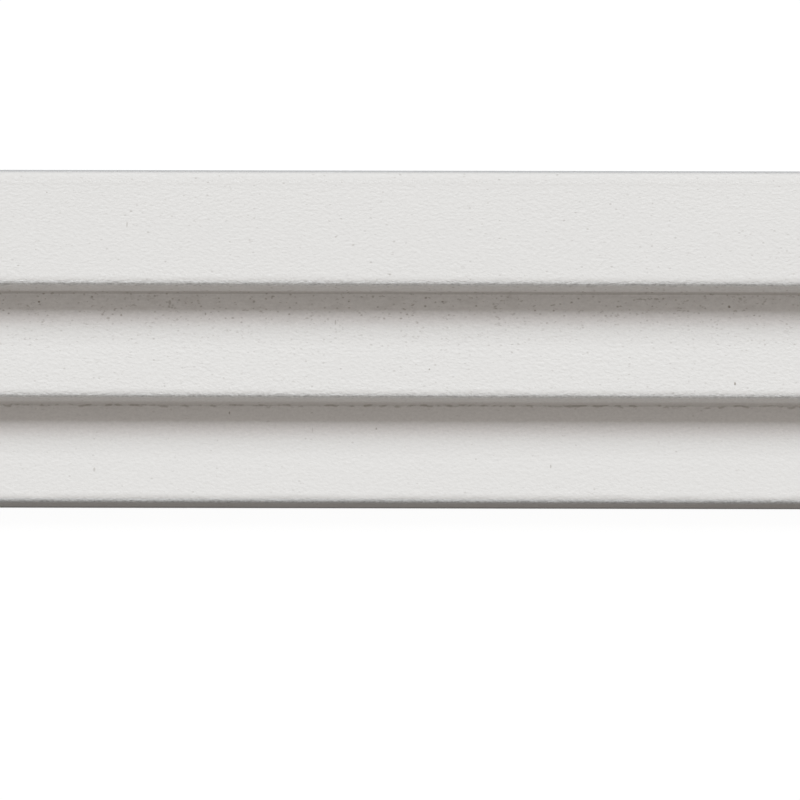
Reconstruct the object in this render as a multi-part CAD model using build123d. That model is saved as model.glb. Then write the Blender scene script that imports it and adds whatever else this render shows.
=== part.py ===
from build123d import *
import os

# A primed three-dimensional wall panel, extruded in one piece from rigid foamed polymer
# and sold by the length. Its face has three flat bands, one above the other when it is on
# the wall. The top band stands out furthest, and each band below it is set back by a step.
#
# It lies on its back. X runs along its length, Y points from its bottom edge to its top
# edge, and Z points out of its face. The origin is in the middle of its back.
# All sizes are in millimetres.

# Length that the panel is sold in
panel_length = 2000.0

# Height of each band, from the top edge of the panel to its bottom edge
top_band_height = 36.9
middle_band_height = 32.7
bottom_band_height = 30.4

# How far the face of each band stands out past what is below it
bottom_band_thickness = 7.0
middle_step_depth = 7.9
top_step_depth = 8.2

# The lower arris of each band is eased: long along the face, short into the underside
ease_along_face = 2.4
ease_into_underside = 0.7

# The die and the primer leave a small round in each inner corner
inner_corner_radius = 0.5

# The face curves back a little towards the top edge, and the top arris is rounded
top_land_height = 3.6
top_land_setback = 0.2
top_arris_radius = 0.5

# Trimmed corners of the back
back_arris_chamfer = 0.5

# Shallow grooves along the back, which key the adhesive to it
glue_groove_mouth = 4.0
glue_groove_floor = 2.8
glue_groove_depth = 0.8
glue_groove_pitch = 12.0
glue_groove_margin = 12.0

# Places that follow from the sizes above
panel_height = top_band_height + middle_band_height + bottom_band_height
top_edge_y = panel_height / 2
top_step_y = top_edge_y - top_band_height
middle_step_y = top_step_y - middle_band_height
bottom_edge_y = middle_step_y - bottom_band_height
bottom_band_z = bottom_band_thickness
middle_band_z = bottom_band_z + middle_step_depth
top_band_z = middle_band_z + top_step_depth


def eased_arris(edge_y, face_z):
    """The quarter ellipse that leads from a band's face round to its underside."""
    centre = (edge_y + ease_along_face, face_z - ease_into_underside)
    return EllipticalCenterArc(
        centre, ease_along_face, ease_into_underside, start_angle=90, arc_size=90
    )


def face_outline():
    """The outline of the section over the three bands. Its first edge ends at the top corner."""
    top_corner = (top_edge_y, top_band_z - top_land_setback)
    land_end = (top_edge_y - top_land_height, top_band_z)
    top_ease = eased_arris(top_step_y, top_band_z)
    middle_ease = eased_arris(middle_step_y, middle_band_z)
    bottom_ease = eased_arris(bottom_edge_y, bottom_band_z)
    top_corner_in = (top_step_y, middle_band_z)
    middle_corner_in = (middle_step_y, bottom_band_z)
    return [
        TangentArc(land_end, top_corner, tangent=(1, 0)),
        Line(land_end, top_ease @ 0),
        top_ease,
        Line(top_ease @ 1, top_corner_in),
        Line(top_corner_in, middle_ease @ 0),
        middle_ease,
        Line(middle_ease @ 1, middle_corner_in),
        Line(middle_corner_in, bottom_ease @ 0),
        bottom_ease,
    ]


def back_outline(face_edges):
    """The bottom edge, the back and the top edge, which close the section."""
    corners = [
        face_edges[-1] @ 1,
        (bottom_edge_y, back_arris_chamfer),
        (bottom_edge_y + back_arris_chamfer, 0),
        (top_edge_y - back_arris_chamfer, 0),
        (top_edge_y, back_arris_chamfer),
        face_edges[0] @ 1,
    ]
    return [Line(start, end) for start, end in zip(corners, corners[1:])]


def round_corners(section):
    """Rounds the two inner corners of the steps and the top arris."""
    inner_corners = [(top_step_y, middle_band_z), (middle_step_y, bottom_band_z)]
    for corner in inner_corners:
        vertex = section.vertices().sort_by_distance(corner)[0]
        section = fillet(vertex, inner_corner_radius)
    top_corner = (top_edge_y, top_band_z - top_land_setback)
    vertex = section.vertices().sort_by_distance(top_corner)[0]
    return fillet(vertex, top_arris_radius)


def glue_grooves():
    """The grooves of the back, spread evenly from its middle out to its margins."""
    reach = panel_height / 2 - glue_groove_margin
    steps_each_way = int(reach // glue_groove_pitch)
    half_mouth = glue_groove_mouth / 2
    half_floor = glue_groove_floor / 2
    groove = make_face(
        Polyline(
            (-half_mouth, 0),
            (half_mouth, 0),
            (half_floor, glue_groove_depth),
            (-half_floor, glue_groove_depth),
            close=True,
        )
    )
    half_pitches = range(-2 * steps_each_way + 1, 2 * steps_each_way, 2)
    return [Pos(half * glue_groove_pitch / 2, 0) * groove for half in half_pitches]


def stepped_panel():
    """The whole panel: its section, drawn once and extruded over its length."""
    face_edges = face_outline()
    section = make_face(face_edges + back_outline(face_edges))
    section = round_corners(section)
    for groove in glue_grooves():
        section -= groove
    return extrude(Plane.YZ * section, panel_length / 2, both=True)


os.makedirs("parts", exist_ok=True)
panel = stepped_panel()
panel.label = "stepped_panel"
export_step(panel, "parts/stepped_panel.step")
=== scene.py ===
# %% [markdown]
# A stepped wall panel, primed white.
#
# The real panel is one length of rigid foamed polymer, pushed through a die and coated with
# primer. Its face steps back in three flat bands. Everything that the eye reads in it is
# small: the softened lower edges, the shadow under each step, a fine grain in the primer and
# a scatter of pinholes. So this lesson makes one accurate shape and one careful finish.
#
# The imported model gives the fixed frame, and every size that it can give is read off it.

import math

import bmesh
import bpy
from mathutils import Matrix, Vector


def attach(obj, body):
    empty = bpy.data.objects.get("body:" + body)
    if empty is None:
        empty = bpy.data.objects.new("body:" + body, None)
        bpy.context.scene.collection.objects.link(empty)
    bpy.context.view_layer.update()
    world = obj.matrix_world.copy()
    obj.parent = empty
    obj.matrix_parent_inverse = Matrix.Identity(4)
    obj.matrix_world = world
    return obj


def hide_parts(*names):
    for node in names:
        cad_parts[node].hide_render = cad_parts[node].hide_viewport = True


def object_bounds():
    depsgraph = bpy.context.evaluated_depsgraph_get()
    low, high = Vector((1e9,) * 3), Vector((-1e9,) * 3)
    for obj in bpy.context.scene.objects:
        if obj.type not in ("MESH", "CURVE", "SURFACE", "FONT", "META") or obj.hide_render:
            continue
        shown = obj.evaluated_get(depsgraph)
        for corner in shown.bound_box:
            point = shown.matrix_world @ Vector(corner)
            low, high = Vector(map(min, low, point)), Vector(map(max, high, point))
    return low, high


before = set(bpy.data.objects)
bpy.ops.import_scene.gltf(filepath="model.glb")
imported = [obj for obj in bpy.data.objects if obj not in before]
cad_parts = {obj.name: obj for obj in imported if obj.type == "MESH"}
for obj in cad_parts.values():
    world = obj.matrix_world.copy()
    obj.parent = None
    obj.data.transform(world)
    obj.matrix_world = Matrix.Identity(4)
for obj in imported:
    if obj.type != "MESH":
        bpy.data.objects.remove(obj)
cad_low, cad_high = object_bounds()
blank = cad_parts["stepped_panel"]
MM = 0.001
print("panel, mm:", [round(side / MM, 1) for side in cad_high - cad_low])

# %% [markdown]
# The section of the panel is the same all along its length, so a few numbers describe it. Each
# flat of the model tells three of them: its level, and where it starts and ends. Reading them
# off the model keeps this script right when the model changes. Typing the sizes in again would
# leave two copies to keep equal.

# %% Read the section off the model
Y_AXIS, Z_AXIS = 1, 2
SAME_WAY = 0.9999  # the dot product of two unit vectors that point the same way
DECIMALS = 6  # of a metre, so a thousandth of a millimetre


def flats(facing, level_axis, span_axis):
    """The model's flats that face one way, each as (level, start, end), lowest level first."""
    found = set()
    for face in blank.data.polygons:
        if face.normal.dot(facing) > SAME_WAY:
            corners = [blank.data.vertices[index].co for index in face.vertices]
            spans = [corner[span_axis] for corner in corners]
            flat = (corners[0][level_axis], min(spans), max(spans))
            found.add(tuple(round(value, DECIMALS) for value in flat))
    return sorted(found)


bands = flats(Vector((0, 0, 1)), Z_AXIS, Y_AXIS)
undersides = flats(Vector((0, -1, 0)), Y_AXIS, Z_AXIS)
back_flats = flats(Vector((0, 0, -1)), Z_AXIS, Y_AXIS)
top_edge = flats(Vector((0, 1, 0)), Y_AXIS, Z_AXIS)[-1]

length = cad_high.x - cad_low.x
height = cad_high.y - cad_low.y
levels = [band[0] for band in bands]
step_lines = [side[0] for side in undersides]
print("bands, mm:", [[round(value / MM, 2) for value in band] for band in bands])
print("undersides, mm:", [[round(value / MM, 2) for value in side] for side in undersides])

# %% [markdown]
# The camera comes before the shape, because two lines of the photograph fix it. The picture was
# taken with a long lens, square to the panel's length and from 20 degrees below straight on, so
# the underside of each step shows as a thin strip. The panel lies on its back here, so that
# camera looks down on it, tilted by the same angle.
#
# The panel's top and bottom edges cross the middle of the photograph at two known rows. A point
# shows at its height in the picture, times the lens in pixels, divided by its distance. Written
# for those two edges, that gives two equations, and their solution is the place of the camera.

# %% The camera
PICTURE_PX = 800.0
TOP_EDGE_PX = 170.6
BOTTOM_EDGE_PX = 508.45
VIEW_TILT = math.radians(20.0)  # from straight on, towards the bottom edge
PICTURE_ROLL = math.radians(0.115)
LENS_MM = 200.0
SENSOR_MM = 36.0
NEAREST_SEEN = 50.0 * MM

up_in_picture = Vector((0, math.cos(VIEW_TILT), math.sin(VIEW_TILT)))
towards_camera = Vector((0, -math.sin(VIEW_TILT), math.cos(VIEW_TILT)))
lens_px = PICTURE_PX * LENS_MM / SENSOR_MM
px_above = PICTURE_PX / 2 - TOP_EDGE_PX
px_below = BOTTOM_EDGE_PX - PICTURE_PX / 2

outline = [vertex.co for vertex in blank.data.vertices]
highest = max(outline, key=up_in_picture.dot)
lowest = min(outline, key=up_in_picture.dot)
seen_height = up_in_picture.dot(highest - lowest)
nearness = px_above * towards_camera.dot(highest) + px_below * towards_camera.dot(lowest)
camera_depth = (seen_height * lens_px + nearness) / (px_above + px_below)
highest_depth = camera_depth - towards_camera.dot(highest)
camera_height = up_in_picture.dot(highest) - px_above * highest_depth / lens_px

bpy.ops.object.select_all(action="DESELECT")
bpy.ops.object.camera_add(location=up_in_picture * camera_height + towards_camera * camera_depth)
camera = bpy.context.object
camera.rotation_mode = "ZYX"  # the roll comes first, about the camera's own line of sight
camera.rotation_euler = (VIEW_TILT, 0, PICTURE_ROLL)
camera.data.lens = LENS_MM
camera.data.sensor_width = SENSOR_MM
camera.data.clip_start = NEAREST_SEEN
bpy.context.scene.camera = camera
print("camera, mm from the back:", round(camera_depth / MM))
print("pixels per mm:", round(lens_px / camera_depth * MM, 3))

# %% [markdown]
# The shape could come from drawing the section as a curve and extruding it, as the die does.
# Here it starts from a slab instead, because each step of that way is one that a maker can see:
# a slab as thick as the bottom band, two lines across it, and the face above each line pulled up
# by one step. The flat faces that these steps leave in pieces are then merged again.

# %% Helpers for shaping in edit mode
TOUCHING = 0.00001
ROUND = 0.5  # the bevel profile that is an arc of a circle


def pick(part, wanted):
    """Selects the panel's VERT, EDGE or FACE items for which wanted(item) holds."""
    bpy.ops.mesh.select_mode(type=part)
    bpy.ops.mesh.select_all(action="DESELECT")
    mesh = bmesh.from_edit_mesh(panel.data)
    items = {"VERT": mesh.verts, "EDGE": mesh.edges, "FACE": mesh.faces}[part]
    chosen = [item for item in items if wanted(item)]
    for item in chosen:
        item.select_set(True)
    bmesh.update_edit_mesh(panel.data)
    return len(chosen)


def middle(item):
    """The middle of an edge or a face."""
    return sum((vert.co for vert in item.verts), Vector()) / len(item.verts)


def near(value, target):
    """True if two values are the same but for rounding."""
    return abs(value - target) < TOUCHING


def on_line(edge, y, z):
    """True if an edge lies along the panel, on the line through y and z."""
    return all(near(vert.co.y, y) and near(vert.co.z, z) for vert in edge.verts)


def cut_faces(wanted, axis, place):
    """Cuts the faces for which wanted(face) holds with a plane square to one axis."""
    normal = Vector((0, 0, 0))
    normal[axis] = 1
    pick("FACE", wanted)
    bpy.ops.mesh.bisect(plane_co=normal * place, plane_no=normal)


# %% The slab and its two steps
FLAT_WITHIN = math.radians(0.1)

bpy.ops.object.select_all(action="DESELECT")
bpy.ops.mesh.primitive_cube_add(size=1)
panel = bpy.context.object
panel.name = panel.data.name = "primed_panel"
bpy.ops.transform.resize(value=(length, height, levels[0]))
bpy.ops.transform.translate(value=(0, 0, levels[0] / 2))
bpy.ops.object.transform_apply(location=True, rotation=True, scale=True)

bpy.ops.object.mode_set(mode="EDIT")
for line, level, raised_to in zip(step_lines[1:], levels, levels[1:]):
    cut_faces(lambda face: near(middle(face).z, level), Y_AXIS, line)
    pick("FACE", lambda face: near(middle(face).z, level) and middle(face).y > line)
    bpy.ops.mesh.extrude_region_move(TRANSFORM_OT_translate={"value": (0, 0, raised_to - level)})

bpy.ops.mesh.select_all(action="SELECT")
bpy.ops.mesh.dissolve_limited(angle_limit=FLAT_WITHIN)
print("faces after stepping:", len(bmesh.from_edit_mesh(panel.data).faces))

# %% [markdown]
# The lower edge of each band, its arris, is softened: a long easing along the face and a short
# one into the underside. That is a quarter of an ellipse, and a bevel makes only circles. So the
# panel is stretched in thickness until the ellipse would be a circle, bevelled, and pressed back.
# The bottom arris gets the most knocks, and the photograph shows it worn a little further round
# than the other two, so it has a deeper easing of its own.

# %% Soften the three arrises
ARRIS_FACETS = 8
BOTTOM_EASING = 0.9 * MM
ease_along_face = bands[-1][1] - step_lines[-1]
ease_into_underside = levels[-1] - undersides[-1][2]
easings = [BOTTOM_EASING, ease_into_underside, ease_into_underside]

for line, level, easing in zip(step_lines, levels, easings):
    stretch = ease_along_face / easing
    bpy.ops.mesh.select_all(action="SELECT")
    bpy.ops.transform.resize(value=(1, 1, stretch), center_override=(0, 0, 0))
    pick("EDGE", lambda edge: on_line(edge, line, level * stretch))
    bpy.ops.mesh.bevel(offset=ease_along_face, segments=ARRIS_FACETS, profile=ROUND, affect="EDGES")
    bpy.ops.mesh.select_all(action="SELECT")
    bpy.ops.transform.resize(value=(1, 1, 1 / stretch), center_override=(0, 0, 0))
    print("easing, mm:", round(ease_along_face / MM, 2), "by", round(easing / MM, 2))

# %% [markdown]
# Primer gathers in the inner corners, so each has a small round. Along the top edge the face
# curves back a little over the last few millimetres, which the photograph shows as a slightly
# brighter strip. That strip, the top land, is cut into rows, and each row drops by the square of
# its share of the way, as a shallow arc does. Then the edge itself is rounded, and the back
# corners are trimmed.

# %% Inner corners, top land and trimmed back
CORNER_FACETS = 3
TOP_ARRIS_FACETS = 5
LAND_DROP = 0.2 * MM  # the rounding hides this corner in the model, so it is typed
LAND_ROWS = (0.25, 0.5, 0.75)
top_y = cad_high.y
top_z = levels[-1]

corner_radius = undersides[-1][1] - levels[-2]
inner_corners = list(zip(step_lines[1:], levels))
pick("EDGE", lambda edge: any(on_line(edge, y, z) for y, z in inner_corners))
bpy.ops.mesh.bevel(offset=corner_radius, segments=CORNER_FACETS, profile=ROUND, affect="EDGES")

land_start = bands[-1][2]
land_lines = [land_start + (top_y - land_start) * share for share in LAND_ROWS]
for line in [land_start] + land_lines:
    cut_faces(lambda face: near(middle(face).z, top_z), Y_AXIS, line)
for share, line in zip(LAND_ROWS + (1.0,), land_lines + [top_y]):
    pick("EDGE", lambda edge: on_line(edge, line, top_z))
    bpy.ops.transform.translate(value=(0, 0, -LAND_DROP * share**2))
pick("EDGE", lambda edge: on_line(edge, top_y, top_z - LAND_DROP))
top_arris = top_z - LAND_DROP - top_edge[2]
bpy.ops.mesh.bevel(offset=top_arris, segments=TOP_ARRIS_FACETS, profile=ROUND, affect="EDGES")

back_trim = top_edge[1]
pick("EDGE", lambda edge: any(on_line(edge, y, 0) for y in (cad_low.y, cad_high.y)))
bpy.ops.mesh.bevel(offset=back_trim, segments=1, affect="EDGES")
radii = (corner_radius, top_arris, back_trim)
print("corner, top arris and trim, mm:", [round(radius / MM, 2) for radius in radii])

# %% [markdown]
# The back has shallow keys that run its whole length, so that adhesive grips it. The model has
# them already, so their lines are read off it: the back's flats lie at two levels, and each key
# runs from the end of one flat of the back to the start of the next.

# %% Glue keys in the back
lands = [flat for flat in back_flats if near(flat[0], 0)]
key_floors = [flat for flat in back_flats if flat[0] > TOUCHING]
key_depth = key_floors[0][0]

for level, start, end in lands + key_floors:
    for line in (start, end):
        cut_faces(lambda face: near(middle(face).z, 0) and face.normal.z < -SAME_WAY, Y_AXIS, line)


def is_key_floor(face):
    """True if a face of the back spans one of the model's keys."""
    at = middle(face)
    return near(at.z, 0) and any(start < at.y < end for level, start, end in key_floors)


found = pick("FACE", is_key_floor)
bpy.ops.transform.translate(value=(0, 0, key_depth))
print("keys:", found, "depth, mm:", round(key_depth / MM, 2))

# %% [markdown]
# The ends are sawn. A saw leaves a thin worn edge all round the cut, so each end face gets an
# inset, and the old rim is then drawn back a little from the end. The result is a narrow bevel
# round the whole outline, which a bevel on a hundred short edges would make less cleanly.

# %% Worn rims of the two sawn ends
RIM = 0.25 * MM

for side in (-1, 1):
    pick("FACE", lambda face: face.normal.x * side > SAME_WAY)
    bpy.ops.mesh.inset(thickness=RIM, depth=0)
    mesh = bmesh.from_edit_mesh(panel.data)
    inner = {vert.index for vert in mesh.verts if vert.select}
    end_x = side * length / 2
    pick("VERT", lambda vert: near(vert.co.x, end_x) and vert.index not in inner)
    bpy.ops.transform.translate(value=(-side * RIM, 0, 0))

print("points in the section:", len(inner))

# %% [markdown]
# Real primed edges aren't ruler-straight: the coat runs a little thick and thin along them. For
# that the panel needs points along its length. The long edges alone are divided, so each long
# face becomes a ladder of quads and the ends stay as they are. Rows beside each arris keep the
# wide faces flat when the shading is smoothed.

# %% Rows and rungs
SUPPORT = 0.4 * MM
COARSE_CUTS = 9
FINE_CUTS = 94

for level, start, end in bands:
    for line in (start + SUPPORT, end - SUPPORT):
        cut_faces(lambda face: near(middle(face).z, level) and face.normal.z > SAME_WAY, Y_AXIS, line)


def runs_lengthwise(edge):
    """True if an edge runs along the panel's length."""
    first, second = (vert.co for vert in edge.verts)
    return abs(first.x - second.x) > TOUCHING and near(first.y, second.y) and near(first.z, second.z)


for cuts in (COARSE_CUTS, FINE_CUTS):
    pick("EDGE", runs_lengthwise)
    bpy.ops.mesh.subdivide(number_cuts=cuts)

rungs = (COARSE_CUTS + 1) * (FINE_CUTS + 1)
bpy.ops.object.mode_set(mode="OBJECT")
print("rung spacing, mm:", round(length / rungs / MM, 2), "faces:", len(panel.data.polygons))

# %% [markdown]
# The unevenness itself is a Displace modifier with a cloudy noise. A vertex group limits it to
# the three arrises, fullest in the middle of each and nothing where the arris meets its flats
# or the sawn ends. Moving every point by hand would work too, but a modifier says what it does
# in three settings. All that shaping has rounded some places by a few millionths of a
# millimetre, so the points are held to the model's own box at the end.

# %% Uneven arrises
UNEVENNESS = 0.25 * MM
ARRIS_WEAR = (1.0, 0.4, 0.4)  # share of the unevenness, the bottom arris first
UNEVEN_SCALE = 6.0 * MM
SMOOTH_ANGLE = math.radians(30)

arris_points = panel.vertex_groups.new(name="arrises")
for vertex in panel.data.vertices:
    clear_of_ends = abs(vertex.co.x) < length / 2 - 2 * RIM
    for line, level, easing, wear in zip(step_lines, levels, easings, ARRIS_WEAR):
        across = (line + ease_along_face - vertex.co.y) / ease_along_face
        up = (vertex.co.z - level + easing) / easing
        if clear_of_ends and 0 < across < 1 and 0 < up < 1:
            fullness = 2 * across * up  # 1 in the middle of the arris and 0 at both its sides
            arris_points.add([vertex.index], wear * fullness**2, "REPLACE")

coat = bpy.data.textures.new("coat_thickness", type="CLOUDS")
coat.noise_scale = UNEVEN_SCALE
coat.noise_depth = 1
uneven = panel.modifiers.new("uneven_arrises", "DISPLACE")
uneven.texture = coat
uneven.texture_coords = "LOCAL"
uneven.vertex_group = "arrises"
uneven.strength = UNEVENNESS
bpy.ops.object.modifier_apply(modifier=uneven.name)
for vertex in panel.data.vertices:
    vertex.co = [min(max(v, low), high) for v, low, high in zip(vertex.co, cad_low, cad_high)]
bpy.ops.object.shade_smooth_by_angle(angle=SMOOTH_ANGLE)
heights = [round(vertex.co.z / MM, 3) for vertex in panel.data.vertices]
print("lowest and highest point, mm:", min(heights), max(heights))

# %% [markdown]
# The finish is one matte coat of primer, and its small marks are worked out from places on the
# panel. Shader nodes are easier to read as sums, so a few short helpers write them: they do
# arithmetic, make a soft step between two values, and make noise at a stated size. All of them
# read Object coordinates, which here are metres on the panel itself.

# %% Helpers for the primer's nodes
primer = bpy.data.materials.new("matte_white_primer")
primer.use_nodes = True
tree = primer.node_tree
place = tree.nodes.new("ShaderNodeTexCoord").outputs["Object"]
split = tree.nodes.new("ShaderNodeSeparateXYZ")
tree.links.new(place, split.inputs[0])
at_y = split.outputs["Y"]
at_z = split.outputs["Z"]


def feed(socket, value):
    """Links another node's output to a socket, or writes a plain value into it."""
    if isinstance(value, bpy.types.NodeSocket):
        tree.links.new(value, socket)
    else:
        socket.default_value = value


def calc(operation, first, second=0.0, third=0.0):
    """One step of arithmetic."""
    node = tree.nodes.new("ShaderNodeMath")
    node.operation = operation
    for socket, value in zip(node.inputs, (first, second, third)):
        feed(socket, value)
    return node.outputs[0]


def product(first, *more):
    """Two or more values multiplied together."""
    for value in more:
        first = calc("MULTIPLY", first, value)
    return first


def blend(first, second, share):
    """The first value where share is 0 and the second where it is 1."""
    return calc("MULTIPLY_ADD", calc("SUBTRACT", second, first), share, first)


def fade(value, zero_at, one_at):
    """0 at zero_at, 1 at one_at and a soft step between them."""
    node = tree.nodes.new("ShaderNodeMapRange")
    node.interpolation_type = "SMOOTHSTEP"
    feed(node.inputs["Value"], value)
    node.inputs["From Min"].default_value = zero_at
    node.inputs["From Max"].default_value = one_at
    return node.outputs["Result"]


def noise(size_x, size_yz, detail=2.0, seed=0.0):
    """Noise about 0.5, with blotches of about the stated size along and across the panel."""
    mapping = tree.nodes.new("ShaderNodeMapping")
    feed(mapping.inputs["Vector"], place)
    mapping.inputs["Location"].default_value = (seed, seed, seed)
    mapping.inputs["Scale"].default_value = (1 / size_x, 1 / size_yz, 1 / size_yz)
    node = tree.nodes.new("ShaderNodeTexNoise")
    feed(node.inputs["Vector"], mapping.outputs[0])
    node.inputs["Scale"].default_value = 1.0
    node.inputs["Detail"].default_value = detail
    return node.outputs[0]


def centred(value):
    """Noise shifted so that its middle is 0."""
    return calc("SUBTRACT", value, 0.5)


# %% [markdown]
# The coat isn't equally rough all over. The bottom band is smoother than the other two, and so is
# the top band's land. The arrises, where the coat pulls thin over the edge, are much rougher, and
# that runs a little way down each underside, its lip. So each of these places is worked out from
# the section first, as a value that is 1 on it and fades to 0 around it.

# %% Places on the panel
EDGE_SOFTNESS = 0.5 * MM
STEP_SOFTNESS = 0.2 * MM
BAND_SOFTNESS = 1.0 * MM
LIP_HEIGHT = 2.1 * MM
FULL_WITHIN = 0.2  # the part of a reach where nearness is still full
ARRIS_REACH = 0.75 * ease_along_face
ARRIS_ROUGHNESS = (0.55, 0.85, 1.0)  # the bottom arris is worn smoothest
LIP_REACH = 0.25 * ease_along_face
LIP_ROUGHNESS = (1.5, 1.0, 1.0)
lower_step, upper_step = step_lines[1:]


def arris_nearness(face_reach, shares):
    """Each arris at its share, with a fade along its face and one down its underside."""
    total = 0.0
    for line, level, easing, share in zip(step_lines, levels, easings, shares):
        y_gap = calc("SUBTRACT", at_y, line)
        z_gap = calc("SUBTRACT", at_z, level)
        lip_foot = -LIP_HEIGHT - easing / 2
        nearness = product(
            fade(y_gap, -EDGE_SOFTNESS, 0),
            fade(y_gap, face_reach, FULL_WITHIN * face_reach),
            fade(z_gap, 2 * EDGE_SOFTNESS, EDGE_SOFTNESS),
            fade(z_gap, lip_foot, -easing / 2),
        )
        total = calc("MULTIPLY_ADD", nearness, share, total)
    return total


on_arris = arris_nearness(ARRIS_REACH, ARRIS_ROUGHNESS)
on_lip = arris_nearness(LIP_REACH, LIP_ROUGHNESS)
on_land = fade(at_y, land_start - BAND_SOFTNESS, land_start + BAND_SOFTNESS)
on_bottom_band = fade(at_y, lower_step + BAND_SOFTNESS, lower_step - BAND_SOFTNESS)
below_first_step = fade(at_y, upper_step + STEP_SOFTNESS, upper_step - STEP_SOFTNESS)
print("reach of an arris and of its lip, mm:", [round(v / MM, 2) for v in (ARRIS_REACH, LIP_REACH)])

# %% [markdown]
# A sprayed and rolled primer dries to a fine ripple about a millimetre from crest to crest. It
# is too fine for geometry, which would need millions of faces over two metres, so it is a bump.
# The bump is kept as a height in millimetres, and a crest is only hundredths of one, so it looks
# the same under any light. Two layers are added, the second coarser and mirrored, because the
# lattice that one noise is built on shows as faint slanting streaks. The height is taken from
# the noise's own middle, or the coat would seem to swell where it gets rougher. The arrises have
# a finer ripple of their own.

# %% The primer's grain
FINE_DETAIL = 3.0
COARSER = 1.4
SECOND_LAYER_SEED = 5.0
GRAIN_LONG = 1.1 * MM
GRAIN_SHORT = 0.75 * MM
GRAIN_HEIGHT_MM = 0.18
TOP_LAND_GRAIN = 0.65
MIDDLE_BAND_GRAIN = 1.15
BOTTOM_BAND_GRAIN = 0.8
ARRIS_GRAIN_LONG = 0.75 * MM
ARRIS_GRAIN_SHORT = 0.5 * MM
ARRIS_GRAIN_HEIGHT_MM = 0.48


def grain(long, short, seed):
    """Two layers of noise about 0, the second coarser and mirrored along the panel."""
    first = noise(long, short, FINE_DETAIL, seed)
    second = noise(-COARSER * long, COARSER * short, FINE_DETAIL, seed + SECOND_LAYER_SEED)
    return centred(calc("MULTIPLY", calc("ADD", first, second), 0.5))


band_grain = blend(blend(1.0, TOP_LAND_GRAIN, on_land), MIDDLE_BAND_GRAIN, below_first_step)
band_grain = blend(band_grain, BOTTOM_BAND_GRAIN, on_bottom_band)
coarse_height = product(grain(GRAIN_LONG, GRAIN_SHORT, seed=0.0), GRAIN_HEIGHT_MM, band_grain)
arris_ripple = grain(ARRIS_GRAIN_LONG, ARRIS_GRAIN_SHORT, seed=30.0)
arris_height = product(arris_ripple, ARRIS_GRAIN_HEIGHT_MM, on_arris)
grain_height = calc("ADD", arris_height, coarse_height)
print("grain, mm:", [round(v / MM, 2) for v in (GRAIN_LONG, GRAIN_SHORT)])

# %% [markdown]
# The coat's colour varies slightly at the same scale, which is all that shows of the grain in
# full shade. It varies most on the lips, and a little more than elsewhere where a step shelters
# the band below it. The result is a small number to add to the colour's lightness.

# %% How the grain shades the coat
STAIN_LONG = 0.9 * MM
STAIN_SHORT = 0.7 * MM
GRAIN_SHADE = 0.14
ARRIS_SHADE = 2.2
LIP_SHADE = 7.5
SHELTER_SHADE = 1.5
SHELTER_FULL = 6.0 * MM
SHELTER_ENDS = 14.0 * MM

sheltered = 0.0
for line in (lower_step, upper_step):
    below_step = fade(at_y, line + STEP_SOFTNESS, line)
    close_to_step = fade(at_y, line - SHELTER_ENDS, line - SHELTER_FULL)
    sheltered = calc("MULTIPLY_ADD", below_step, close_to_step, sheltered)

shade_share = 1.0
for here, more in ((on_arris, ARRIS_SHADE), (on_lip, LIP_SHADE), (sheltered, SHELTER_SHADE)):
    shade_share = calc("MULTIPLY_ADD", here, more, shade_share)
grain_shade = product(grain(STAIN_LONG, STAIN_SHORT, seed=20.0), GRAIN_SHADE, shade_share)
print("nodes after the grain:", len(tree.nodes))

# %% [markdown]
# Foamed polymer has closed cells inside. Where a cell lies just under the skin it opens as a
# pinhole. A 3-D Voronoi pattern does the same thing: it fills space with scattered points, and
# the surface cuts through those that lie close to it, some near their middle and some at their
# edge, so the pinholes come out in uneven sizes. A quick noise bends their outlines first.

# %% Cells under the skin
CELL_SIZE = 1.35 * MM
CELL_STRETCH = 1.3
CELL_BEND = 0.35 * MM
BEND_SIZE = 1.0 * MM

bend_noise = tree.nodes.new("ShaderNodeTexNoise")
feed(bend_noise.inputs["Vector"], place)
bend_noise.inputs["Scale"].default_value = 1 / BEND_SIZE
bend = tree.nodes.new("ShaderNodeVectorMath")
bend.operation = "MULTIPLY_ADD"
feed(bend.inputs[0], bend_noise.outputs["Color"])
bend.inputs[1].default_value = (CELL_BEND,) * 3
feed(bend.inputs[2], place)
squeeze = tree.nodes.new("ShaderNodeMapping")
feed(squeeze.inputs["Vector"], bend.outputs[0])
squeeze.inputs["Scale"].default_value = (1 / CELL_STRETCH, 1, 1)
cells = tree.nodes.new("ShaderNodeTexVoronoi")
feed(cells.inputs["Vector"], squeeze.outputs[0])
cells.inputs["Scale"].default_value = 1 / CELL_SIZE
cell_chance = tree.nodes.new("ShaderNodeSeparateColor")
tree.links.new(cells.outputs["Color"], cell_chance.inputs[0])
cell_distance = calc("MULTIPLY", cells.outputs["Distance"], CELL_SIZE)
print("cells from edge to edge:", round(height / CELL_SIZE))

# %% [markdown]
# How crowded the pinholes are depends on the place. Under the first step, on the upper part of
# the middle band, they lie close together, and there are few on the bottom band. A slow noise
# gathers them in clusters. Each cell has random numbers of its own: one decides whether it is
# open, and another makes a few of the pinholes darker than the rest. Each open pinhole's colour
# is darkened: painted shade in the pit, with some dirt in it.

# %% Pinholes
PINHOLE_RADIUS = 0.42 * MM
PINHOLE_FLOOR = 0.3  # the part of the radius at which a pinhole is at its deepest
PINHOLE_SHADE_AND_DIRT = 0.14
FEW_DARK_POWER = 4.0
DARKER_NEAR_STEP = 1.3
TOP_BAND_SHARE = 0.10
CROWDED_SHARE = 0.46
SPARSE_SHARE = 0.18
BOTTOM_BAND_SHARE = 0.04
CROWD_FULL = 7.0 * MM
CROWD_ENDS = 23.0 * MM
DARK_FULL = 4.0 * MM
DARK_ENDS = 13.0 * MM
CLUSTER_LONG = 14.0 * MM
CLUSTER_SHORT = 5.0 * MM

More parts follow.
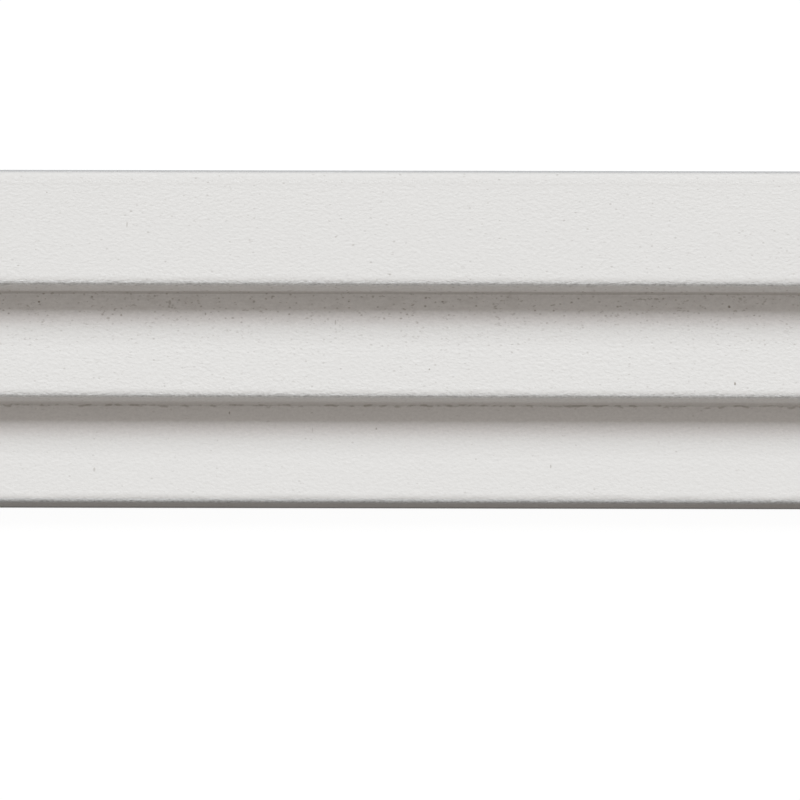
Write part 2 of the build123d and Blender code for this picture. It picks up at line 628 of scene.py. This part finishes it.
crowd_fade = fade(at_y, upper_step - CROWD_ENDS, upper_step - CROWD_FULL)
dark_fade = fade(at_y, upper_step - DARK_ENDS, upper_step - DARK_FULL)
under_step = product(below_first_step, crowd_fade)
near_step = product(below_first_step, dark_fade)

middle_share = blend(SPARSE_SHARE, CROWDED_SHARE, under_step)
open_share = blend(TOP_BAND_SHARE, middle_share, below_first_step)
open_share = blend(open_share, BOTTOM_BAND_SHARE, on_bottom_band)
clusters = product(noise(CLUSTER_LONG, CLUSTER_SHORT, seed=4.0), 2.0)  # 1 on average
is_open = calc("LESS_THAN", cell_chance.outputs[0], product(open_share, clusters))
pinhole = product(fade(cell_distance, PINHOLE_RADIUS, PINHOLE_FLOOR * PINHOLE_RADIUS), is_open)

few_dark = calc("ADD", calc("POWER", cell_chance.outputs[1], FEW_DARK_POWER), 1.0)
darker_here = calc("MULTIPLY_ADD", near_step, DARKER_NEAR_STEP, 1.0)
# painted shade in each open pit, with some dirt in it
pinhole_shade_and_dirt = product(pinhole, PINHOLE_SHADE_AND_DIRT, few_dark, darker_here)
print("crowded down to, mm below the step:", [round(v / MM) for v in (CROWD_FULL, CROWD_ENDS)])

# %% [markdown]
# Dirt has also settled under the first step, out of a duster's reach: irregular brown flecks, a
# few of them run together sideways, over soft warmer patches. A noise that is cut off near its
# Below both steps a thin rosy band is painted along the soft edge of their shadow: painted
# light, the tint of that half-shade.
# A thin rosy film of dust lies below both steps, along the edge of their shadow.

# %% Flecks, patches and a painted rosy half-shade
FLECK_LONG = 1.7 * MM
FLECK_SHORT = 0.9 * MM
FLECK_CUT = (0.66, 0.80)
FLECK_SPREAD = 0.052
FLECK_DIRT = 0.40
FLECK_DIRT_ELSEWHERE = 0.20
GATHER_LONG = 12.0 * MM
GATHER_SHORT = 4.0 * MM
GATHER_STRENGTH = 0.25
PATCH_LONG = 6.0 * MM
PATCH_SHORT = 2.5 * MM
PATCH_CUT = (0.48, 0.72)
PATCH_DIRT = 0.09
PENUMBRA_TINT_NEAR_STEP = (4.5 * MM, 7.5 * MM)
PENUMBRA_TINT_FAR_FROM_STEP = (8.0 * MM, 12.0 * MM)
PENUMBRA_TINT_SHARE = 0.095

fleck_peaks = noise(FLECK_LONG, FLECK_SHORT, FINE_DETAIL, seed=11.0)
fleck_gather = product(centred(noise(GATHER_LONG, GATHER_SHORT, seed=13.0)), GATHER_STRENGTH)
fleck_level = calc("MULTIPLY_ADD", under_step, FLECK_SPREAD, calc("ADD", fleck_peaks, fleck_gather))
fleck_strength = blend(FLECK_DIRT_ELSEWHERE, FLECK_DIRT, near_step)
fleck_dirt = product(fade(fleck_level, *FLECK_CUT), fleck_strength)
patches = fade(noise(PATCH_LONG, PATCH_SHORT, seed=15.0), *PATCH_CUT)
patch_dirt = product(patches, PATCH_DIRT, near_step)

# painted light: a rosy tint along the soft edge of each step's shadow
painted_penumbra_tint = 0.0
for line in (lower_step, upper_step):
    tint_start = fade(at_y, line - PENUMBRA_TINT_NEAR_STEP[0], line - PENUMBRA_TINT_NEAR_STEP[1])
    tint_end = fade(at_y, line - PENUMBRA_TINT_FAR_FROM_STEP[1], line - PENUMBRA_TINT_FAR_FROM_STEP[0])
    painted_penumbra_tint = calc("MULTIPLY_ADD", product(tint_start, tint_end), PENUMBRA_TINT_SHARE, painted_penumbra_tint)
tint_edges = PENUMBRA_TINT_NEAR_STEP + PENUMBRA_TINT_FAR_FROM_STEP
print("dust film, mm below each step:", [round(edge / MM, 1) for edge in tint_edges])

# %% [markdown]
# The two inner corners are darkened with painted shade, each in its own way. In the upper one
# it is an even dark line, just up the underside. In the lower one the coat has pulled apart, so
# there are short brown-black dashes in the corner itself, which wander a little: painted shade
# in the split, with some dirt in it. Above them lies a soft dark margin of painted shade. All of
# it comes from the distance to the corner, measured with one reach along the band and another
# up the underside, and each line fades between two such distances.

# %% Painted shade in the inner corners
EVEN_LINE = (0.20 * MM, 1.95 * MM)  # reach along the band and up the underside
EVEN_LINE_FADE = (1.25, 0.6)
EVEN_LINE_SHADE = 0.31
DASH_REACH = (0.45 * MM, 1.0 * MM)
DASH_FADE = (1.1, 0.3)
DASH_LONG = 2.4 * MM
DASH_SHORT = 1.2 * MM
DASH_CUT = (0.43, 0.62)
DASH_SHADE_AND_DIRT = 0.36
WANDER_LONG = 5.0 * MM
WANDER_DEEP = 30.0 * MM
WANDER_SPAN = 2.2 * MM
WANDER_REST = 0.6  # the noise value at which the dashes lie in the corner itself
MARGIN_REACH = (0.42 * MM, 3.4 * MM)
MARGIN_FADE = (1.15, 0.45)
MARGIN_SHADE = 0.20


def corner_gap(line, level, reach, wander=0.0):
    """The distance to an inner corner, in reaches. The corner may wander up and down."""
    y_gap = calc("DIVIDE", calc("SUBTRACT", at_y, calc("ADD", wander, line)), reach[0])
    z_gap = calc("DIVIDE", calc("SUBTRACT", at_z, level), reach[1])
    return calc("SQRT", calc("ADD", product(y_gap, y_gap), product(z_gap, z_gap)))


# painted shade: an even dark line in the upper inner corner
even_gap = corner_gap(upper_step, levels[1], EVEN_LINE)
even_corner_shade = product(fade(even_gap, *EVEN_LINE_FADE), EVEN_LINE_SHADE)

# painted shade in the split of the lower corner, with some dirt in it
wander_noise = noise(WANDER_LONG, WANDER_DEEP, seed=9.0)
wander = product(calc("SUBTRACT", wander_noise, WANDER_REST), WANDER_SPAN)
dash_gap = corner_gap(lower_step, levels[0], DASH_REACH, wander)
dashes = fade(noise(DASH_LONG, DASH_SHORT, FINE_DETAIL, seed=2.0), *DASH_CUT)
dash_shade_and_dirt = product(fade(dash_gap, *DASH_FADE), dashes, DASH_SHADE_AND_DIRT)
# painted shade: a soft dark margin up the lower underside
margin_gap = corner_gap(lower_step, levels[0], MARGIN_REACH)
margin_shade = product(fade(margin_gap, *MARGIN_FADE), MARGIN_SHADE)
print("corner lines at y, mm:", [round(line / MM, 1) for line in (upper_step, lower_step)])

# %% [markdown]
# This length of trim also has a few marks of its own: a fine dark hair stuck in the primer, and
# some specks and short scuffs. Each was seen at one place in the photograph. A line is drawn from
# the camera through that pixel to the band behind it, and the mark is an ellipse there, in
# millimetres on the panel.

# %% Helpers for the marks
MARK_FADE = (1.3, 0.5)  # in half sizes of the ellipse


def place_on_band(pixel, level):
    """Where the line of sight through a pixel meets a band."""
    through = Vector((pixel[0] - PICTURE_PX / 2, PICTURE_PX / 2 - pixel[1], -lens_px))
    sight = camera.rotation_euler.to_matrix() @ through
    return camera.location + sight * (level - camera.location.z) / sight.z


def vector_math(operation, first, second=None):
    """A node of vector arithmetic. The second vector, if any, is a plain value."""
    node = tree.nodes.new("ShaderNodeVectorMath")
    node.operation = operation
    feed(node.inputs[0], first)
    if second is not None:
        node.inputs[1].default_value = second
    return node


def mark_shape(centre, half_size):
    """1 in the middle of an ellipse on the face and 0 outside it."""
    scale = (1 / (half_size[0] * MM), 1 / (half_size[1] * MM), 0)
    offset = vector_math("SUBTRACT", place, centre)
    scaled = vector_math("MULTIPLY", offset.outputs[0], scale)
    distance = vector_math("LENGTH", scaled.outputs[0]).outputs["Value"]
    return fade(distance, *MARK_FADE)


# %% A few single marks
TOP_BAND, MIDDLE_BAND, BOTTOM_BAND = levels[2], levels[1], levels[0]
MARKS = [  # pixel, band, half width and half height in mm, dirt
    ((127.0, 224.5), TOP_BAND, (0.16, 0.95), 0.46),
    ((46.8, 192.4), TOP_BAND, (0.24, 0.24), 0.42),
    ((390.0, 274.5), TOP_BAND, (0.42, 0.36), 0.33),
    ((652.5, 203.5), TOP_BAND, (0.30, 0.30), 0.23),
    ((39.0, 301.8), MIDDLE_BAND, (0.38, 0.30), 0.85),
    ((729.1, 306.7), MIDDLE_BAND, (0.40, 0.42), 0.70),
    ((735.0, 383.7), MIDDLE_BAND, (0.30, 0.55), 0.70),
    ((335.4, 322.4), MIDDLE_BAND, (0.22, 0.85), 0.38),
    ((169.8, 302.6), MIDDLE_BAND, (0.45, 0.90), 0.38),
    ((121.2, 315.1), MIDDLE_BAND, (0.35, 0.40), 0.50),
    ((108.2, 318.1), MIDDLE_BAND, (0.60, 0.35), 0.36),
    ((205.5, 314.0), MIDDLE_BAND, (0.28, 0.45), 0.48),
    ((272.9, 296.4), MIDDLE_BAND, (0.55, 0.30), 0.45),
    ((429.4, 369.3), MIDDLE_BAND, (0.26, 0.28), 0.50),
    ((229.4, 413.0), BOTTOM_BAND, (0.25, 0.48), 0.55),
    ((376.3, 428.7), BOTTOM_BAND, (0.28, 0.38), 0.46),
    ((312.5, 430.0), BOTTOM_BAND, (0.20, 0.90), 0.20),
    ((550.7, 466.5), BOTTOM_BAND, (0.24, 0.60), 0.37),
    ((94.3, 469.4), BOTTOM_BAND, (0.35, 0.65), 0.30),
]

mark_dirt = 0.0
for pixel, level, half_size, darkening in MARKS:
    centre = place_on_band(pixel, level)
    mark_dirt = calc("MULTIPLY_ADD", mark_shape(centre, half_size), darkening, mark_dirt)
    print("mark at, mm:", [round(value / MM, 1) for value in centre])

# %% [markdown]
# Two more places differ. Handling has greyed the very top edge, which shows as a cool grey
# hairline that fades down the face. The foot of the lowest underside is darkened grey as well.
# The die has left a faint line where the flat of the top band begins.

# %% The greyed edges and the die's line
EDGE_GREYING = 0.58
EDGE_GREY_REACH = (1.9 * MM, 0.1 * MM)  # from the top edge: where it starts and where it is full
EDGE_GREY_DEPTH = (3.0 * MM, 1.0 * MM)  # below the face, likewise
FOOT_GREYING = 0.48
FOOT_GREY_REACH = (0.5 * MM, 0.1 * MM)  # from the bottom edge
FOOT_GREY_HEIGHT = (2.6 * MM, 0.6 * MM)  # above the back
DIE_LINE_PLACE = 4.75 * MM  # from the top edge
DIE_LINE_FADE = (0.65 * MM, 0.2 * MM)
DIE_LINE_DIRT = 0.025

near_top = fade(at_y, *(top_y - reach for reach in EDGE_GREY_REACH))
near_face = fade(at_z, *(top_z - depth for depth in EDGE_GREY_DEPTH))
edge_line = product(near_top, near_top, near_face)
near_bottom = fade(at_y, *(cad_low.y + reach for reach in FOOT_GREY_REACH))
foot_line = product(near_bottom, fade(at_z, *FOOT_GREY_HEIGHT))
edge_grey = calc("MULTIPLY_ADD", foot_line, FOOT_GREYING, product(edge_line, EDGE_GREYING))
die_line_gap = calc("ABSOLUTE", calc("SUBTRACT", at_y, top_y - DIE_LINE_PLACE))
die_line = product(fade(die_line_gap, *DIE_LINE_FADE), DIE_LINE_DIRT)
print("die's line at y, mm:", round((top_y - DIE_LINE_PLACE) / MM, 2))

# %% [markdown]
# The sawn ends and the back never had primer. They show the bare foam, a little whiter than the
# coat, with the cells cut open at the ends and faint die lines along the back. Which way the
# surface faces tells them apart from the face, so they need no material of their own.

# %% The sawn ends and the bare back
END_FACING = (0.8, 0.95)
BACK_FACING = (-0.3, -0.5)
FOAM_CELL = 0.45 * MM
FOAM_RELIEF_MM = 0.10
STREAK_LONG = 400.0 * MM
STREAK_SHORT = 0.7 * MM
STREAK_RELIEF_MM = 0.05

facing = tree.nodes.new("ShaderNodeSeparateXYZ")
tree.links.new(tree.nodes.new("ShaderNodeNewGeometry").outputs["Normal"], facing.inputs[0])
on_end = fade(calc("ABSOLUTE", facing.outputs["X"]), *END_FACING)
on_back = fade(facing.outputs["Z"], *BACK_FACING)
on_foam = calc("MAXIMUM", on_end, on_back)

foam_cells = tree.nodes.new("ShaderNodeTexVoronoi")
feed(foam_cells.inputs["Vector"], place)
foam_cells.inputs["Scale"].default_value = 1 / FOAM_CELL
foam_height = product(foam_cells.outputs["Distance"], FOAM_RELIEF_MM, on_end)
die_lines = product(noise(STREAK_LONG, STREAK_SHORT, seed=6.0), STREAK_RELIEF_MM, on_back)
print("open cells along an end:", round(height / FOAM_CELL))

# %% [markdown]
# Now the parts meet. Every mark so far is an amount of darkening: dirt, and painted shade in the
# inner corners and the pinholes. Its colour is a dull brown, so the primer's white is mixed
# towards it by their sum. Along the soft edge of each step's shadow a rosy tint is painted in,
# as painted light. A faint drift in the colour keeps two metres of white from looking printed.
# The two lower bands are painted a touch lighter than the top one, as painted light. The arrises
# are painted a little cooler and lighter, the bottom one most, and it has a lighter lip: painted
# light on them.

# %% The coat's colour
PRIMER_WHITE = (0.79, 0.785, 0.775)
PAINTED_ARRIS_WHITE = (0.79, 0.83, 0.855)
FOAM_WHITE = (0.83, 0.825, 0.80)
DIRT_AND_SHADE_BROWN = (0.20, 0.165, 0.125)
EDGE_GREY = (0.10, 0.115, 0.14)
PENUMBRA_ROSE = (0.47, 0.32, 0.31)
ARRIS_LIGHT_REACH = 0.5 * ease_along_face
ARRIS_LIGHT_SHARE = (0.9, 0.4, 0.4)  # the bottom arris first
LIT_LIP_REACH = 0.15 * ease_along_face
LIT_LIP_SHARE = (1.0, 0.0, 0.0)
PAINTED_LIP_LIGHT = 0.09
LOWER_BANDS_PAINTED_LIGHT = 0.014
DRIFT_LONG = 60.0 * MM
DRIFT_SHORT = 25.0 * MM
DRIFT = 0.02


def mix_colours(share, first, second):
    """The first colour where share is 0 and the second where it is 1."""
    node = tree.nodes.new("ShaderNodeMix")
    node.data_type = "RGBA"
    feed(node.inputs["Factor"], share)
    for name, colour in (("A", first), ("B", second)):
        feed(node.inputs[name], colour if isinstance(colour, bpy.types.NodeSocket) else (*colour, 1))
    return node.outputs["Result"]


# darkening: dirt and marks, plus painted shade in the inner corners and the pinholes
darkening = calc("MAXIMUM", pinhole_shade_and_dirt, fleck_dirt)
for more in (patch_dirt, even_corner_shade, dash_shade_and_dirt, margin_shade, mark_dirt, die_line):
    darkening = calc("ADD", darkening, more)

# painted light: the arrises a little cooler and lighter, the bottom one most
painted_arris_light = arris_nearness(ARRIS_LIGHT_REACH, ARRIS_LIGHT_SHARE)
coat_colour = mix_colours(painted_arris_light, PRIMER_WHITE, PAINTED_ARRIS_WHITE)
penumbra_tinted = mix_colours(painted_penumbra_tint, coat_colour, PENUMBRA_ROSE)
marked = mix_colours(edge_grey, mix_colours(darkening, penumbra_tinted, DIRT_AND_SHADE_BROWN), EDGE_GREY)

drift = calc("MULTIPLY_ADD", noise(DRIFT_LONG, DRIFT_SHORT, seed=7.0), DRIFT, 1.0 - DRIFT / 2)
# painted light: the two lower bands a touch lighter than the top one
lower_bands = fade(at_y, upper_step + ease_along_face, upper_step + STEP_SOFTNESS)
# painted light: a lighter lip on the bottom arris
painted_lip_light = arris_nearness(LIT_LIP_REACH, LIT_LIP_SHARE)
lightness = calc("ADD", drift, grain_shade)
for here, more in ((lower_bands, LOWER_BANDS_PAINTED_LIGHT), (painted_lip_light, PAINTED_LIP_LIGHT)):
    lightness = calc("MULTIPLY_ADD", here, more, lightness)

tint = vector_math("SCALE", marked)
feed(tint.inputs["Scale"], lightness)
finish_colour = mix_colours(on_foam, tint.outputs[0], FOAM_WHITE)
print("nodes after the colour:", len(tree.nodes))

# %% [markdown]
# The heights meet too, and go through one Bump node whose distance is a millimetre. Roughness is
# high, because primer is made matte so that paint will hold on it.

# %% Put the primer together
PINHOLE_DEPTH_MM = 0.03
ROUGHNESS = 0.75
SHEEN_LEVEL = 0.2

coat_relief = calc("SUBTRACT", grain_height, product(pinhole, PINHOLE_DEPTH_MM))
foam_relief = calc("ADD", foam_height, die_lines)
has_coat = calc("SUBTRACT", 1.0, on_foam)
bump = tree.nodes.new("ShaderNodeBump")
bump.inputs["Strength"].default_value = 1.0
bump.inputs["Distance"].default_value = MM
feed(bump.inputs["Height"], calc("MULTIPLY_ADD", coat_relief, has_coat, foam_relief))

surface = tree.nodes["Principled BSDF"]
tree.links.new(finish_colour, surface.inputs["Base Color"])
tree.links.new(bump.outputs[0], surface.inputs["Normal"])
surface.inputs["Roughness"].default_value = ROUGHNESS
surface.inputs["Specular IOR Level"].default_value = SHEEN_LEVEL
panel.data.materials.append(primer)
print("nodes in the primer:", len(tree.nodes))

# %% [markdown]
# The panel lies on a plain pale floor. In the photograph it stands alone on white, so the floor
# gives the camera almost pure white and keeps only a faint shadow. Light that bounces off the
# floor is another matter: the photograph's lowest underside is dark, so little came from below,
# and the floor is dark to every ray that isn't part of the picture. It lies a hair below the
# panel's back, because two faces in one plane would fight over which of them shows.

# %% The floor
FLOOR_HALF_SIDE = 20.0
FLOOR_GAP = 0.1 * MM
FLOOR_GLOW = 0.95
FLOOR_SHADOW_SHARE = 0.08
FLOOR_BOUNCE = 0.03


def seen_ray(nodes, links):
    """1 for rays that make up the picture: straight from the camera, mirrored or through glass."""
    path = nodes.new("ShaderNodeLightPath")
    seen = path.outputs["Is Camera Ray"]
    for name in ("Is Glossy Ray", "Is Transmission Ray"):
        either = nodes.new("ShaderNodeMath")
        either.operation = "MAXIMUM"
        links.new(seen, either.inputs[0])
        links.new(path.outputs[name], either.inputs[1])
        seen = either.outputs[0]
    return seen


bpy.ops.object.select_all(action="DESELECT")
bpy.ops.mesh.primitive_plane_add(size=2 * FLOOR_HALF_SIDE)
bpy.ops.transform.translate(value=(0, 0, -FLOOR_GAP))
bpy.ops.object.transform_apply(location=True, rotation=True, scale=True)
floor = bpy.context.object
floor.name = "pale_floor"

floor_white = bpy.data.materials.new("floor_white")
floor_white.use_nodes = True
nodes, links = floor_white.node_tree.nodes, floor_white.node_tree.links
nodes.remove(nodes["Principled BSDF"])
shadow_part = nodes.new("ShaderNodeBsdfDiffuse")
shadow_part.inputs["Color"].default_value = (FLOOR_SHADOW_SHARE,) * 3 + (1,)
glow_part = nodes.new("ShaderNodeEmission")
glow_part.inputs["Strength"].default_value = FLOOR_GLOW
shown = nodes.new("ShaderNodeAddShader")
links.new(shadow_part.outputs[0], shown.inputs[0])
links.new(glow_part.outputs[0], shown.inputs[1])
bounced = nodes.new("ShaderNodeBsdfDiffuse")
bounced.inputs["Color"].default_value = (FLOOR_BOUNCE,) * 3 + (1,)
floor_look = nodes.new("ShaderNodeMixShader")
links.new(seen_ray(nodes, links), floor_look.inputs[0])
links.new(bounced.outputs[0], floor_look.inputs[1])
links.new(shown.outputs[0], floor_look.inputs[2])
links.new(floor_look.outputs[0], nodes["Material Output"].inputs["Surface"])
floor.data.materials.append(floor_white)
print("floor below the back, mm:", round(FLOOR_GAP / MM, 2))

# %% [markdown]
# The shadow under each step says where the light was. Measured from straight on, the shadow
# starts to fade at about 33 degrees and is gone at 66, evenly in between and alike all along the
# panel: one long softbox on the side of the panel's top edge. The rest of the light is a weak
# warm fill from all round, at the level that the deepest shadow keeps.

# %% The softbox and the fill
KEY_DISTANCE = 16.0
KEY_ANGLE = math.radians(50.0)  # from straight on, towards the top edge
KEY_HALF_SPREAD = math.radians(16.4)
KEY_LENGTH = 32.0
KEY_WATTS = 3920.0
KEY_COLOUR = (0.938, 0.974, 1.0)
FILL_COLOUR = (1.0, 0.927, 0.868)
FILL_STRENGTH = 0.374

bpy.ops.object.light_add(type="AREA", rotation=(-KEY_ANGLE, 0, 0))
softbox = bpy.context.object
softbox.name = "long_softbox"
softbox.location = Vector((0, math.sin(KEY_ANGLE), math.cos(KEY_ANGLE))) * KEY_DISTANCE
softbox.data.shape = "RECTANGLE"
softbox.data.size = KEY_LENGTH
softbox.data.size_y = 2 * KEY_DISTANCE * math.tan(KEY_HALF_SPREAD)
softbox.data.energy = KEY_WATTS
softbox.data.color = KEY_COLOUR
softbox.visible_camera = False

world = bpy.data.worlds.new("studio")
bpy.context.scene.world = world
world.use_nodes = True
nodes, links = world.node_tree.nodes, world.node_tree.links
fill = nodes["Background"]
fill.inputs["Color"].default_value = (*FILL_COLOUR, 1)
fill.inputs["Strength"].default_value = FILL_STRENGTH
backdrop = nodes.new("ShaderNodeBackground")
backdrop.inputs["Color"].default_value = (1, 1, 1, 1)
backdrop.inputs["Strength"].default_value = 1.0
room = nodes.new("ShaderNodeMixShader")
links.new(seen_ray(nodes, links), room.inputs[0])
links.new(fill.outputs[0], room.inputs[1])
links.new(backdrop.outputs[0], room.inputs[2])
links.new(room.outputs[0], nodes["World Output"].inputs["Surface"])
bpy.context.scene.view_settings.view_transform = "Standard"
print("softbox, m:", round(softbox.data.size, 2), "by", round(softbox.data.size_y, 2))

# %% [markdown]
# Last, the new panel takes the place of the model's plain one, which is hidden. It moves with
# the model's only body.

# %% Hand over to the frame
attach(panel, "root")
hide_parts("stepped_panel")

print("faces:", len(panel.data.polygons))
